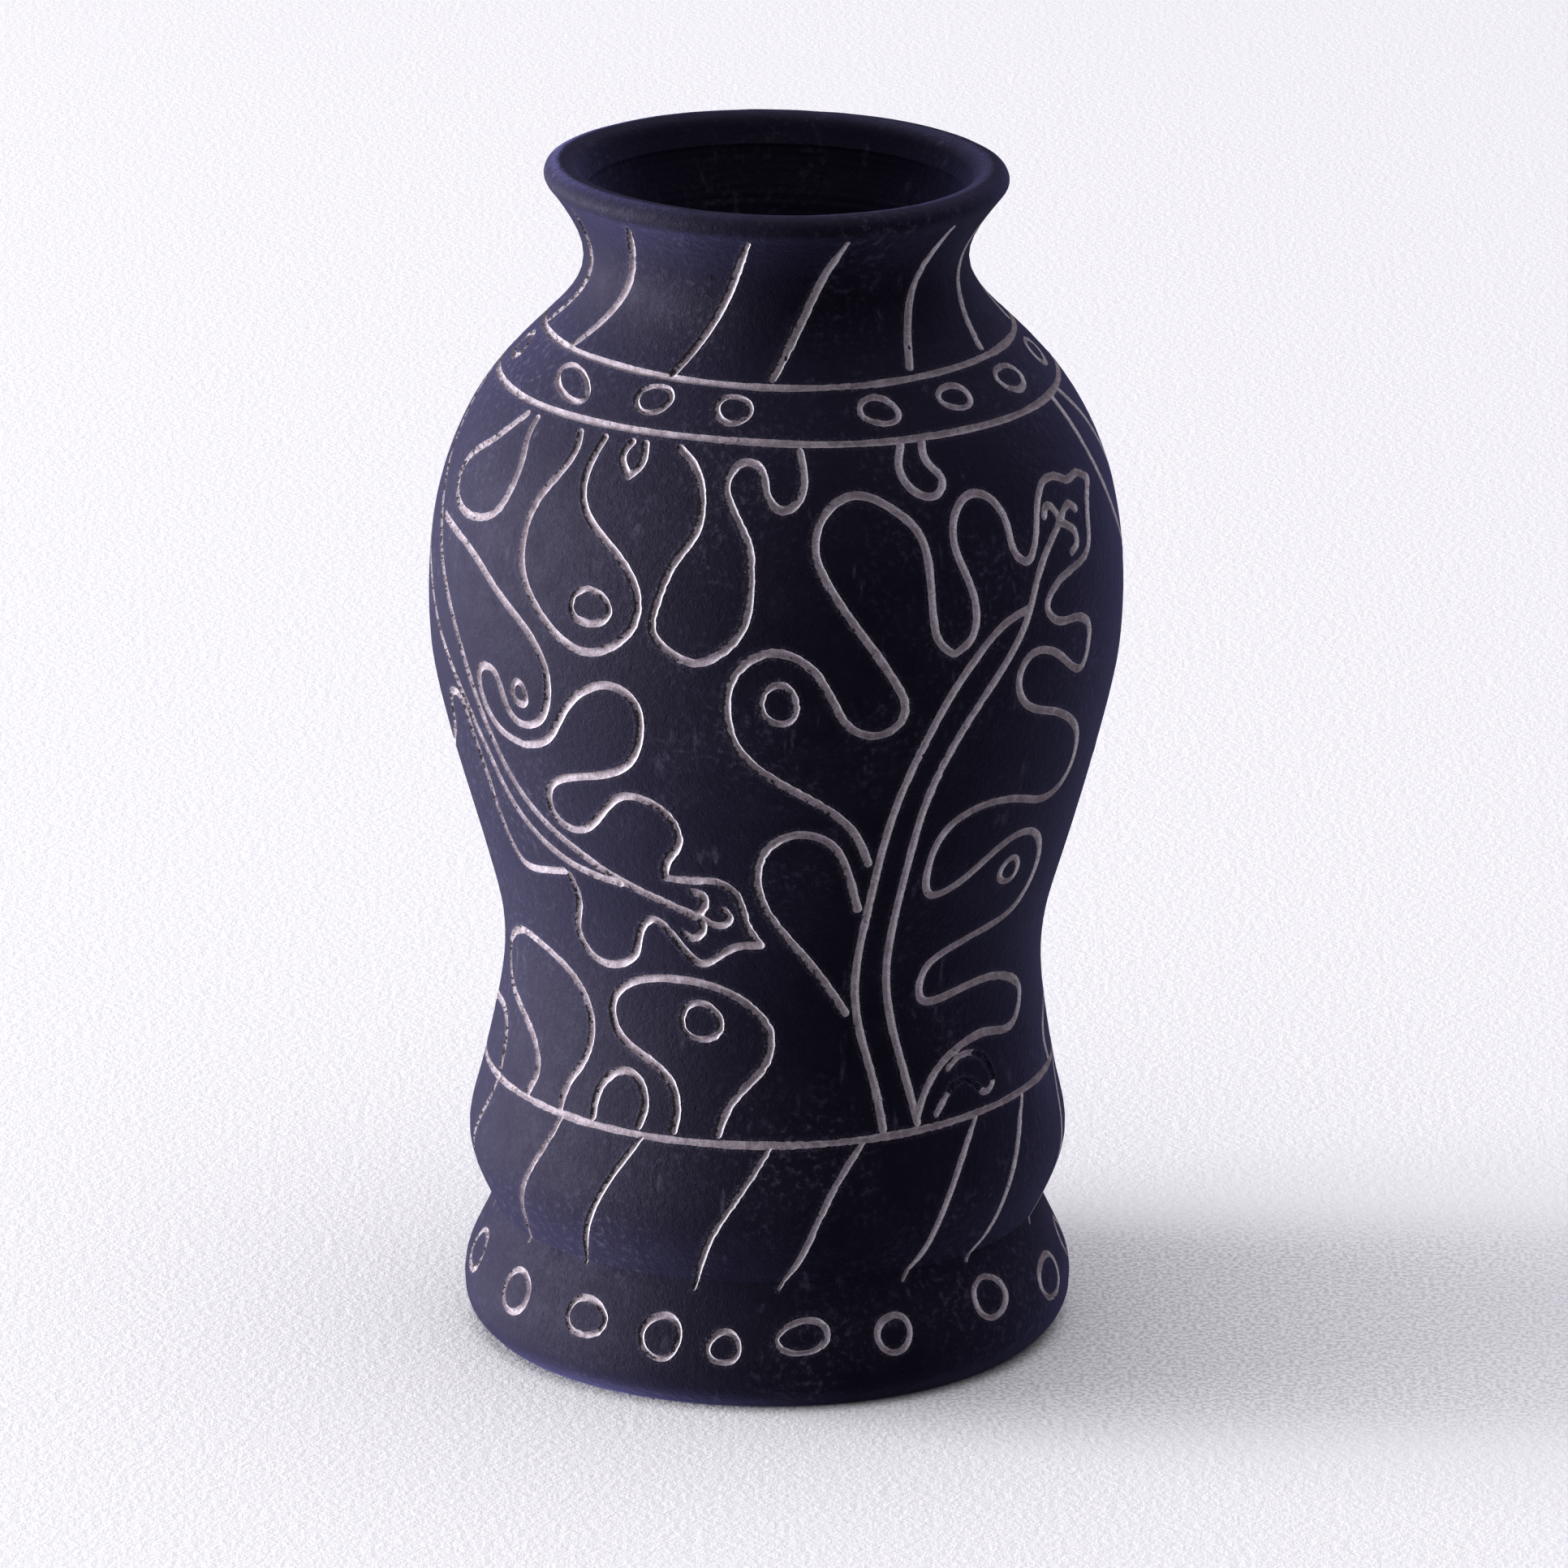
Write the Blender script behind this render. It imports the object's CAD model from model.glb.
"""Looks for the carved black clay pot: clay sections with carved grooves and pale slip in
them, standing on a pale plaster floor.

Lengths here are millimetres until a mesh is made.  Places on the wall are pairs (azimuth,
height): azimuth 0 is the front (-Y) and it grows towards +X, in degrees; height is in
millimetres above the base.
"""
import math

import bpy
import numpy as np
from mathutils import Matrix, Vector


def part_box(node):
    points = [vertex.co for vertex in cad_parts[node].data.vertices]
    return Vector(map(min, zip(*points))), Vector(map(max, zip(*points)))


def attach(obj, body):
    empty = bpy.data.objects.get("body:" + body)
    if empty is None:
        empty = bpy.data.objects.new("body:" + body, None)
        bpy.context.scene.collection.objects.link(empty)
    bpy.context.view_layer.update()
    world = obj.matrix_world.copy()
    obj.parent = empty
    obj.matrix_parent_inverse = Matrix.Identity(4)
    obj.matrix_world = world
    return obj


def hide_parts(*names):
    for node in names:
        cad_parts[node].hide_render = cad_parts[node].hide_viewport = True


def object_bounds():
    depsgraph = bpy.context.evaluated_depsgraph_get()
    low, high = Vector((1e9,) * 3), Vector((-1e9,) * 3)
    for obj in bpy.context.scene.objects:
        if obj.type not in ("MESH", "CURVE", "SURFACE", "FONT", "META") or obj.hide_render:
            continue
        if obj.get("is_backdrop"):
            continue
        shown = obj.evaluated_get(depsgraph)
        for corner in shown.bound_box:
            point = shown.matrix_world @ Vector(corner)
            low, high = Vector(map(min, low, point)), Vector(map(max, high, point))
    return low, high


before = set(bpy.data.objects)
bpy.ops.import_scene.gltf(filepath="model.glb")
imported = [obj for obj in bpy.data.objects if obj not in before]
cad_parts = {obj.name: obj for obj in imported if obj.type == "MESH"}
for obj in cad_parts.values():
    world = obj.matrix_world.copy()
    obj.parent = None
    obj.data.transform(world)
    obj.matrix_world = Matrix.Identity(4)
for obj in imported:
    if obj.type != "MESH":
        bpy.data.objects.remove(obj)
cad_low, cad_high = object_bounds()
MM = 0.001

# ---------------------------------------------------------------- outlines, (radius, height)
HEIGHT = cad_high.z / MM   # the crest of the rim
FOOT_OUTLINE = [(68.5, 0), (72.2, 4.5), (73.2, 9), (72.3, 15.5), (69.2, 22.4), (65.6, 30)]
BODY_OUTLINE = [(65.6, 30), (67.9, 34.9), (71.7, 47.4), (69.4, 60), (66.8, 72.4), (64.2, 90),
                (64.6, 101), (67.9, 115), (72.2, 130), (77.6, 150), (81.3, 167), (82.4, 183),
                (81.3, 199), (78.3, 212.4), (72.6, 225.6), (65.4, 235.8), (54.1, 247.4),
                (47.6, 255), (45.1, 262.4), (46.3, 268.6), (49.9, 275), (53, 279.2),
                (54.5, 281.8), (53.4, 284.2), (50.5, HEIGHT), (47.2, 283.9), (45.9, 281.5),
                (44.55, 278.3)]
INNER_OUTLINE = [(44.6, 278.6), (43.8, 274), (42.6, 268.4), (41.6, 262), (42.2, 254),
                 (48, 245), (58.5, 233), (66.2, 221.5), (71.4, 211), (74.8, 198), (75.9, 183),
                 (74.7, 166), (70.8, 148), (65.2, 129), (60.5, 113), (57.8, 99), (57.9, 88),
                 (60.4, 71), (63.2, 58), (64.4, 46), (61.5, 36), (59.8, 29), (61.2, 22),
                 (60.5, 14), (54, 7)]
SECTIONS = ["foot_wall", "bulge_wall", "waist_wall", "belly_wall", "shoulder_wall",
            "neck_wall", "rim_coil"]
BEVEL = 0.5               # rise of a luted joint for each millimetre inward
LEAN = 1.15               # how far the foot is off the axis one way, and the shoulder the other
RIM_TIP = 0.9             # how far the rim dips on one side and rises on the other
LIP_START = 274.0         # height at which the rolled rim begins to turn over

# ---------------------------------------------------------------- carved lines
GROOVE_HALF = 1.0         # half the width of a carved line
GROOVE_DEPTH = 0.75
SNAP = 0.24               # grid points this near the edge of a line are moved onto it
FAR = 9.0                 # stands for any distance too long to matter
BACK_TURN = 174.0         # the plants on the back repeat the front ones, turned by this

RING_LINES = {
    "base_line": [(-180, 66.2), (-120, 66.4), (-65, 66.3), (-35, 65.5), (30, 65.5), (70, 66.5),
                  (120, 66), (180, 66.2)],
    "lower_collar_line": [(-180, 235), (-120, 235.6), (-45, 235.9), (-5, 235.3), (10, 234.6),
                          (30, 234.2), (60, 233.9), (80, 234.3), (130, 234.8), (180, 235)],
    "upper_collar_line": [(-180, 246), (-120, 246.6), (-45, 246.8), (-15, 246), (5, 245.4),
                          (50, 245.4), (80, 245.6), (130, 245.8), (180, 246)],
}
# each stroke of the neck: the azimuth of its foot, and how far it slants on the way up
NECK_STROKES = [(-86, 22), (-62, 21.5), (-26, 18.8), (-1, 19.2), (34.5, 16.7), (60.5, 16),
                (92, 19), (121, 17), (150, 21), (180, 18), (212, 17), (243, 20)]
# the curve that they share: (share of the slant, height)
NECK_SHAPE = [(0, 247.3), (0.18, 252), (0.48, 260), (0.78, 270), (1, 278.5)]
FOOT_STROKES = [
    [(-71.5, 65.2), (-74.2, 58.5), (-77.5, 51), (-80.5, 41), (-83.5, 29)],
    [(-45.8, 65.2), (-49.4, 56), (-52.8, 48.5), (-56, 40), (-59, 28.8)],
    [(-25.6, 65.2), (-31, 55.5), (-34.8, 46.5), (-38.5, 37), (-40.7, 29)],
    [(0.6, 65.2), (-3.6, 57), (-8.5, 47.5), (-12.5, 37.5), (-15, 28)],
    [(19.4, 65.2), (13, 55), (9.3, 46), (6, 35.5), (2.4, 28.6)],
    [(45.7, 65.2), (39.8, 55.5), (35, 44), (32.6, 34.5), (28.6, 27.8)],
    [(61.6, 65.2), (56.3, 54.5), (52, 44), (50.2, 35.5), (45.2, 28.7)],
    [(86, 65.2), (81, 54), (77.5, 43), (75, 34), (71.5, 28.8)],
]
# the back repeats some of them: (which stroke, turned by)
BACK_FOOT_STROKES = [(2, 132), (3, 128), (4, 132), (2, 197), (3, 194), (4, 197), (5, 192),
                     (4, 240)]

# ovals: azimuth, height, half width, half height (mm), tilt (degrees)
COLLAR_OVALS = [(-86, 242, 4.3, 2.4, 0), (-52.3, 241.6, 7.2, 2.4, -12), (-28.5, 242, 4.2, 2.6, 0),
                (-9.5, 241.3, 4, 2.5, -8), (22.6, 240.2, 4.5, 2.5, -5), (42.2, 240.4, 4.2, 2.3, -5),
                (62.5, 240.4, 5, 2.5, -8), (86, 240.6, 4.4, 2.4, 0), (109, 240.4, 4.1, 2.5, -6),
                (133, 240.6, 5, 2.4, -8), (156, 240.3, 4.2, 2.5, 0), (180, 240.8, 4.4, 2.4, -6),
                (204, 240.6, 4.8, 2.5, -4), (226, 241, 4, 2.4, 0), (249, 241.4, 4.6, 2.5, -8)]
FOOT_OVALS = [(-79.5, 19.3, 5.4, 4.5, 0), (-57, 18, 5, 4.6, 20), (-37, 18.2, 5.8, 3.8, 0),
              (-20.5, 17, 4.5, 5, 0), (-8.2, 15.8, 3.6, 3.6, 20), (6.8, 18.2, 5.8, 3.6, 8),
              (24.7, 17, 4.1, 4.2, 0), (48.4, 19.6, 5.4, 4.3, 15), (70.4, 16.5, 6.4, 4.6, 5),
              (90, 18, 4.6, 4.4, 0), (108, 17.4, 5.6, 3.9, 6), (127, 18.6, 4.4, 4.6, 0),
              (145, 17, 5, 4.2, 10), (163, 18.4, 4, 4, 0), (181, 17.2, 5.6, 4, -8),
              (200, 18.8, 4.4, 4.6, 0), (219, 17, 5.2, 3.8, 12), (238, 18.4, 4.6, 4.4, 0),
              (259, 17.6, 5.4, 4.2, 5)]

# the plants and the loops: each is a list of strokes, and a stroke is a list of places
PENDANT_LOOPS = [
    [(-59.5, 233.4), (-62, 230.5), (-67, 225), (-72.5, 219.7), (-73.7, 215.5), (-71.5, 211),
     (-66.5, 209), (-60.5, 209.8), (-56, 213), (-54, 218.5), (-54, 225), (-55.5, 230),
     (-55.7, 233.4)],
    [(-42.3, 233.4), (-41.6, 231), (-43, 225), (-46.3, 218), (-47.6, 209), (-46.6, 201.5),
     (-42.5, 194), (-37.5, 188.5), (-32, 186.3), (-27, 189), (-23.8, 194), (-23.1, 199.5),
     (-25.3, 206.5), (-30.5, 212.8), (-35.5, 218.7), (-37.2, 225.5), (-36.5, 231),
     (-36, 233.4)],
    [(-29.6, 233.4), (-30.6, 231.3), (-28.2, 226.6)],
    [(-28.2, 226.6), (-26.1, 229.8), (-26.6, 233.4)],
    [(-19.2, 233.4), (-16, 230.5), (-13.4, 224), (-13.7, 217), (-17.3, 209), (-19.8, 200),
     (-20.2, 193), (-17.5, 189), (-13.2, 186.8), (-9, 189.3), (-5.6, 195), (-4.2, 205),
     (-5.2, 215.5), (-8.3, 223), (-9, 227.5), (-6, 231.3), (-3, 230), (-1.6, 224.5),
     (1.2, 221.5), (4.2, 224), (4.5, 233.4)],
    [(25, 233.2), (23.5, 229), (25, 224.3), (30.2, 222.8), (31.5, 225.3), (29.3, 229.6),
     (29.6, 233.2)],
]
PENDANT_OVALS = [(-31.9, 197, 5.2, 4, 12)]

STANDING_PLANT = [
    # the two stems and the three curls of the flower
    [(23.3, 67.3), (21.5, 79), (18.5, 91), (16.9, 103), (17.5, 120), (19, 136), (21.5, 152),
     (25, 165), (29.5, 176.5), (36, 187), (40.5, 191.3), (45, 193)],
    [(31, 67.3), (28.5, 80), (25.5, 93), (23.5, 106), (23.5, 119), (24.8, 135), (26.5, 149),
     (30, 162), (35, 173), (41, 183), (45, 191), (48, 199.5), (52, 206), (57, 211),
     (60.3, 213), (62, 211.2)],
    [(56, 210.8), (55.2, 213.3), (53.5, 214.5), (52.2, 212.6)],
    [(56, 210), (58.5, 208.4), (60.2, 206.3), (60, 203.7), (58.2, 202.6)],
    # the first two leaves on the left
    [(16.8, 135.2), (13.5, 144), (8, 151), (0, 158), (-6.2, 166.4), (-8, 176), (-6, 185.7),
     (-0.5, 189.8), (5.2, 186.3), (9.5, 176.5), (13, 170), (18, 169), (21, 173), (19.5, 181),
     (13.5, 194), (8.5, 205), (6.5, 213), (8.8, 221), (14, 224.1), (20.5, 220.8), (25, 214.5),
     (26.1, 206), (26.2, 196), (27.5, 189), (29.6, 186.4)],
    # the upper left leaf, the flower's hood and the leaves on the right
    [(30.2, 186.4), (33, 189), (34.3, 195), (32.8, 204.3), (31.3, 212), (33.5, 219.4),
     (37, 221.4), (41, 219), (43, 212), (43.6, 206.5), (46, 204), (48.5, 207.5), (51, 214.8),
     (54, 219.3), (58.5, 219.8), (62.5, 217.9), (66, 218.2), (70.4, 215.7)],
    [(70.4, 215.7), (66, 209), (63.5, 201.3), (58.5, 198.9), (53, 196.9), (49.9, 192),
     (52.5, 188), (58, 187), (62, 183.9), (62.3, 179), (60.2, 174), (55.6, 176.8),
     (50, 181.7), (46, 182), (43.2, 177), (45, 170.3), (52, 166), (59, 161.3), (63.5, 154.8),
     (63.8, 147.5), (58, 142.5), (49, 144.5), (39, 145.8), (32.5, 142.3), (29.2, 133),
     (30.5, 124.5), (36, 125.6), (44, 131.8), (53, 134.7), (59, 130), (60.8, 122),
     (57, 114.6), (48, 111), (38.5, 108.2), (32.6, 103.4), (32.6, 96.8), (39, 95.9),
     (52, 97), (60, 94.8), (65.8, 89), (63, 83.8), (52, 83.8), (42.5, 82.4), (36.2, 78.3),
     (32.4, 72.4), (30.8, 68)],
    # the petal low on the left
    [(15.3, 95.8), (11, 103), (4.2, 113.5), (-1.5, 123), (-3.5, 131), (-2, 139.5),
     (1.5, 143.3), (6, 143.7), (10, 140.7), (13, 133.5), (15.6, 123.2)],
    # the small crescent beside the foot of the stems
    [(39.5, 78.2), (43.2, 80.4), (47.5, 79.8), (51, 76.5), (52, 72), (49.5, 70),
     (46, 73.2), (42, 74.6), (38.5, 72.1), (35.6, 68.3)],
]
CRESCENT = STANDING_PLANT[-1]
STANDING_OVALS = [(0.4, 177.3, 3.9, 4.9, 0), (50.6, 125.4, 3.2, 3.2, 0)]

HANGING_PLANT = [
    # the stems, from the collar down
    [(-95, 233.2), (-90, 226), (-85, 215.5), (-79.5, 206.5), (-74.5, 197), (-68.5, 187.5),
     (-63, 177), (-59, 166), (-57, 159.5)],
    [(-101, 233.2), (-98.5, 220), (-93.5, 205), (-88, 196), (-81.5, 189), (-75, 180.5),
     (-69, 172.8), (-63.5, 164.3), (-61.4, 159.5)],
    # the stems below the waist of the leaf and the three curls of the flower
    [(-56.6, 158.8), (-54, 151.5), (-48.5, 142.5), (-40, 135), (-30, 128.5), (-20, 123.7),
     (-13.5, 120.3), (-10.5, 119.4), (-8.9, 121.2), (-9.8, 123.5)],
    [(-61.1, 158.8), (-59, 153.5), (-55.5, 144), (-49, 135.5), (-41, 130.3), (-30.5, 127.8)],
    [(-15.8, 121.4), (-13.8, 124), (-14, 127.3), (-15.7, 127.9)],
    [(-14.2, 120.6), (-14.4, 117.3), (-16.6, 115.4), (-18.2, 116.4)],
    # the curled leaf on the right of the stems
    [(-75.6, 205), (-70, 204), (-60.5, 201), (-51.5, 194.2), (-44.5, 188), (-40.6, 181),
     (-40.2, 173), (-43, 166.2), (-48, 165), (-51, 170.5), (-53.5, 176), (-56.5, 175.5),
     (-56.6, 166.5), (-52.5, 160.8), (-47.6, 159.4)],
    # the leaves below it, the flower's hood and the leaf on its left
    [(-46.8, 159.4), (-42, 161.7), (-37, 170.5), (-32, 177.4), (-27, 179), (-23.4, 175.5),
     (-22.7, 168.5), (-25.4, 160), (-31, 156), (-38.5, 153.3), (-42.9, 149), (-42.7, 142.5),
     (-38.2, 140), (-32, 145.8), (-26.5, 151.6), (-22, 150.7), (-18.3, 146.5), (-17.6, 140.5),
     (-20.6, 134), (-20.8, 131)],
    [(-20.8, 131), (-15.5, 131), (-10.5, 130.9), (-7.3, 127.5), (-5.7, 120), (-3, 114.3)],
    [(-3, 114.3), (-9, 113), (-14.6, 108.7), (-19, 112.9), (-24.7, 119.3), (-27.5, 115.5),
     (-29.5, 109), (-34, 105.4), (-40.5, 106.3), (-43.2, 111.5), (-41.3, 120.5),
     (-42.4, 127)],
    # the leaf edge on the left of the stems
    [(-43.6, 127.6), (-50, 126), (-56.5, 126), (-60.2, 133.5), (-61.8, 146), (-63.6, 158),
     (-66.2, 164.8), (-70, 164), (-72, 157.5), (-77, 150.3), (-84, 145.5), (-90, 144)],
    [(-90.6, 144), (-98, 144), (-103.5, 148.5), (-103, 155), (-96, 160.5), (-90, 166),
     (-92, 172), (-100, 175), (-105.5, 182), (-102, 189.5), (-94.5, 196)],
]
HANGING_OVALS = [(-46.7, 172.3, 2.2, 2.8, 0)]

LOWER_LOOPS = [
    [(-46.5, 67.4), (-45.5, 73), (-42.5, 78.5), (-40.8, 86.5), (-43, 94.5), (-49, 100.7),
     (-58, 104.4), (-65, 105), (-72, 101.7), (-76.3, 96.5), (-75.3, 91), (-69, 86.3),
     (-62, 82.5), (-57, 77.8), (-55.6, 73.5), (-57.6, 67.4)],
    [(-71.3, 67.4), (-71.3, 74), (-73.5, 79.2), (-78, 81.5), (-84, 81.2), (-91, 79),
     (-95.5, 73.5), (-94, 67.4)],
    [(-37.6, 67.4), (-37.4, 72.5), (-35, 77.3), (-30.5, 79.5), (-27.2, 77), (-25.9, 72.5),
     (-26.8, 67.4)],
    [(-19.3, 67.4), (-18.9, 71.5), (-20, 77), (-25, 82.4), (-31.5, 86), (-35, 90),
     (-35.6, 95.5), (-32, 100.5), (-26, 103.2), (-18, 103.8), (-10.5, 102), (-4, 97.3),
     (-0.5, 91.5), (-0.6, 86), (-4, 80), (-8, 74.3), (-10.2, 67.4)],
]
LOWER_OVALS = [(-15.1, 93.7, 4.9, 4.3, -4)]


# ---------------------------------------------------------------- curves
def smooth(points, step):
    """Points about a step apart on the natural cubic spline through some points."""
    knots = np.array(points, float)
    along = np.concatenate([[0], np.cumsum(np.linalg.norm(np.diff(knots, axis=0), axis=1))])
    spans = np.diff(along)
    count = len(knots)
    system = np.eye(count)
    right = np.zeros_like(knots)
    for i in range(1, count - 1):
        system[i, i - 1:i + 2] = spans[i - 1], 2 * (spans[i - 1] + spans[i]), spans[i]
        right[i] = 6 * ((knots[i + 1] - knots[i]) / spans[i]
                        - (knots[i] - knots[i - 1]) / spans[i - 1])
    bend = np.linalg.solve(system, right)
    fine = np.linspace(0, along[-1], max(2, round(along[-1] / step) + 1))
    span = np.clip(np.searchsorted(along, fine) - 1, 0, count - 2)
    width = spans[span][:, None]
    ahead = (fine - along[span])[:, None] / width
    behind = 1 - ahead
    bends = (behind ** 3 - behind) * bend[span] + (ahead ** 3 - ahead) * bend[span + 1]
    return behind * knots[span] + ahead * knots[span + 1] + bends * width ** 2 / 6


def fade(value, low, high):
    """0 below low, 1 above high, smooth between."""
    share = np.clip((value - low) / (high - low), 0, 1)
    return share * share * (3 - 2 * share)


profile = np.vstack([smooth(FOOT_OUTLINE, 0.1), smooth(BODY_OUTLINE, 0.1)[1:]])
arc = np.concatenate([[0], np.cumsum(np.linalg.norm(np.diff(profile, axis=0), axis=1))])
slope = np.gradient(profile, arc, axis=0)
slope /= np.linalg.norm(slope, axis=1)[:, None]
outward = np.column_stack([slope[:, 1], -slope[:, 0]])
top_row = int(np.argmax(profile[:, 1]))


def arc_at(height):
    """How far up the outer outline a height is."""
    return np.interp(height, profile[:top_row, 1], arc[:top_row])


def on_outline(distance):
    """Radius, height and outward direction of the outer outline at distances along it."""
    return [np.interp(distance, arc, column)
            for column in (profile[:, 0], profile[:, 1], outward[:, 0], outward[:, 1])]


# ---------------------------------------------------------------- the grid on the outer wall
BLOCK = 8                 # a block of the grid is this many cells each way
COLUMNS = 1200            # cells round the pot
CELL = 0.42               # height of a cell, nearly
REACH = 2.6               # a block keeps its small cells if a carved line is as near as this

seams = [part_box(name)[0].z / MM for name in SECTIONS]
marks = [0.0] + [float(arc_at(seam)) for seam in seams] + [float(arc[-1])]
row_arcs, section_rows = [], [0]
for low, high in zip(marks, marks[1:]):
    blocks = max(1, round((high - low) / (CELL * BLOCK)))
    row_arcs.append(np.linspace(low, high, blocks * BLOCK + 1)[:-1])
    section_rows.append(section_rows[-1] + blocks * BLOCK)
row_arc = np.append(np.concatenate(row_arcs), marks[-1])
ROWS = len(row_arc)
row_radius = on_outline(row_arc)[0]
turn_step = math.tau / COLUMNS
column_turn = (np.arange(COLUMNS) + 0.5) * turn_step - math.pi

MEAN_RADIUS = 70.0        # gives the random patches their size across
random = np.random.default_rng(20)


def grain(scale, stretch=1.0):
    """Smooth random values from -1 to 1 on the grid, with patches of a scale in millimetres."""
    across = max(3, round(math.tau * MEAN_RADIUS / (scale * stretch)))
    up = int(row_arc[-1] / scale) + 3
    lattice = random.uniform(-1, 1, (up, across))
    u = np.arange(COLUMNS) / COLUMNS * across
    v = row_arc / scale
    left, low = u.astype(int), v.astype(int)
    right = (left + 1) % across
    across_cell = fade(u - left, 0, 1)
    up_cell = fade(v - low, 0, 1)[:, None]
    bottom = lattice[low][:, left] * (1 - across_cell) + lattice[low][:, right] * across_cell
    top = (lattice[low + 1][:, left] * (1 - across_cell)
           + lattice[low + 1][:, right] * across_cell)
    return bottom * (1 - up_cell) + top * up_cell


# ---------------------------------------------------------------- distance to the carved lines
NOMINAL = 75.0            # radius at which a stroke's curve is drawn
LINE_STEP = 0.8           # length of the straight bits that stand for a curve
line_distance = np.full((ROWS, COLUMNS), FAR)
line_family = np.full((ROWS, COLUMNS), -1)
line_filled = np.ones((ROWS, COLUMNS), bool)
families = []


def draw(points, family, filled=None, thinner=None):
    """Lower the distance field round a line of (turn, arc) points. For each share of the
    line's length, filled says whether slip lies there and thinner how many millimetres are
    taken off each side."""
    total = len(points) - 1
    for i in range(total):
        (turn_a, arc_a), (turn_b, arc_b) = points[i], points[i + 1]
        low = np.searchsorted(row_arc, min(arc_a, arc_b) - REACH)
        high = np.searchsorted(row_arc, max(arc_a, arc_b) + REACH)
        radius = row_radius[low:high, None]
        margin = REACH / radius.min()
        first = math.floor((min(turn_a, turn_b) - margin + math.pi) / turn_step)
        last = math.ceil((max(turn_a, turn_b) + margin + math.pi) / turn_step)
        columns = np.arange(first, last)
        across = ((columns + 0.5) * turn_step - math.pi - turn_a) * radius
        up = row_arc[low:high, None] - arc_a
        run_across, run_up = (turn_b - turn_a) * radius, arc_b - arc_a
        share = np.clip((across * run_across + up * run_up)
                        / (run_across ** 2 + run_up ** 2 + 1e-9), 0, 1)
        near = np.hypot(across - share * run_across, up - share * run_up)
        if thinner is not None:
            near = near + thinner(i / total)
        window = np.ix_(np.arange(low, high), columns % COLUMNS)
        closer = near < line_distance[window]
        line_distance[window] = np.where(closer, near, line_distance[window])
        line_family[window] = np.where(closer, family, line_family[window])
        has_slip = True if filled is None else filled(i / total)
        line_filled[window] = np.where(closer, has_slip, line_filled[window])


def draw_stroke(stroke, family, turn=0.0, filled=None, thinner=None):
    """A stroke through places (azimuth, height), turned about the axis by some degrees."""
    flat = [(math.radians(azimuth) * NOMINAL, height) for azimuth, height in stroke]
    curve = smooth(flat, LINE_STEP)
    points = np.column_stack([curve[:, 0] / NOMINAL + math.radians(turn), arc_at(curve[:, 1])])
    draw(points, family, filled, thinner)


def new_family(name):
    """The number of a new family of lines, which share one slip lining."""
    families.append(name)
    return len(families) - 1


def crescent_filled(share):
    """Slip is missing from the outer bend and the inner bend of the small crescent."""
    return not (0.21 < share < 0.44 or 0.57 < share < 0.85)


# Widths: how many millimetres are taken off each side of a line at a share of its length.
def crescent_width(_share):
    """The small crescent is a little finer all along."""
    return 0.2


def ring_width(share):
    """The ring lines' width wavers as the pot is turned."""
    return 0.12 + 0.06 * math.sin(share * 61) + 0.05 * math.sin(share * 97)


def neck_width(share):
    """The strokes of the neck narrow towards their upper ends."""
    return 0.45 * float(fade(share, 0.82, 1)) - 0.05


def foot_width(share):
    """The strokes above the foot are finer, and narrow at both ends."""
    return 0.18 + 0.2 * float(fade(-share, -0.14, 0)) + 0.4 * float(fade(share, 0.78, 1))


def oval_width(share):
    """The line of an oval swells and narrows on its way round."""
    return 0.2 + 0.1 * math.sin(share * math.tau * 1.5)


def draw_oval(oval, family, turn=0.0):
    """An uneven oval, cut as one line that nearly meets itself."""
    azimuth, height, half_width, half_height, tilt = oval
    radius = float(on_outline(arc_at(height))[0])
    first, second = random.uniform(0, math.tau, 2)
    angle = np.linspace(0.1, math.tau + 0.2, 40) + first
    uneven = 1 + 0.05 * np.sin(2 * angle + second) + 0.035 * np.sin(3 * angle - second)
    along, up = half_width * uneven * np.cos(angle), half_height * uneven * np.sin(angle)
    lean = math.radians(tilt)
    across = along * math.cos(lean) - up * math.sin(lean)
    rise = along * math.sin(lean) + up * math.cos(lean)
    points = np.column_stack([math.radians(azimuth + turn) + across / radius,
                              arc_at(height + rise)])
    draw(points, family, thinner=oval_width)


for name, places in RING_LINES.items():
    draw_stroke(places, new_family(name), thinner=ring_width)
family = new_family("neck_strokes")
for start, lean in NECK_STROKES:
    stroke = [(start + lean * share, height) for share, height in NECK_SHAPE]
    draw_stroke(stroke, family, thinner=neck_width)
family = new_family("foot_strokes")
for stroke in FOOT_STROKES:
    draw_stroke(stroke, family, thinner=foot_width)
for copied, turn in BACK_FOOT_STROKES:
    draw_stroke(FOOT_STROKES[copied], family, turn, thinner=foot_width)
for name, ovals in (("collar_ovals", COLLAR_OVALS), ("foot_ovals", FOOT_OVALS)):
    family = new_family(name)
    for oval in ovals:
        draw_oval(oval, family)
motifs = {
    "pendant_loops": (PENDANT_LOOPS, PENDANT_OVALS),
    "standing_plant": (STANDING_PLANT, STANDING_OVALS),
    "hanging_plant": (HANGING_PLANT, HANGING_OVALS),
    "lower_loops": (LOWER_LOOPS, LOWER_OVALS),
}
for motif, (strokes, ovals) in motifs.items():
    for side, turn in (("front", 0.0), ("back", BACK_TURN)):
        family = new_family(f"{motif}_{side}")
        # one leaf edge would cross the right side of the front, where the wall is bare
        kept = strokes[:-1] if (motif, side) == ("hanging_plant", "back") else strokes
        for stroke in kept:
            filled = crescent_filled if stroke is CRESCENT and side == "front" else None
            thinner = crescent_width if stroke is CRESCENT else None
            draw_stroke(stroke, family, turn, filled, thinner)
        for oval in ovals:
            draw_oval(oval, family, turn)

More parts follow.
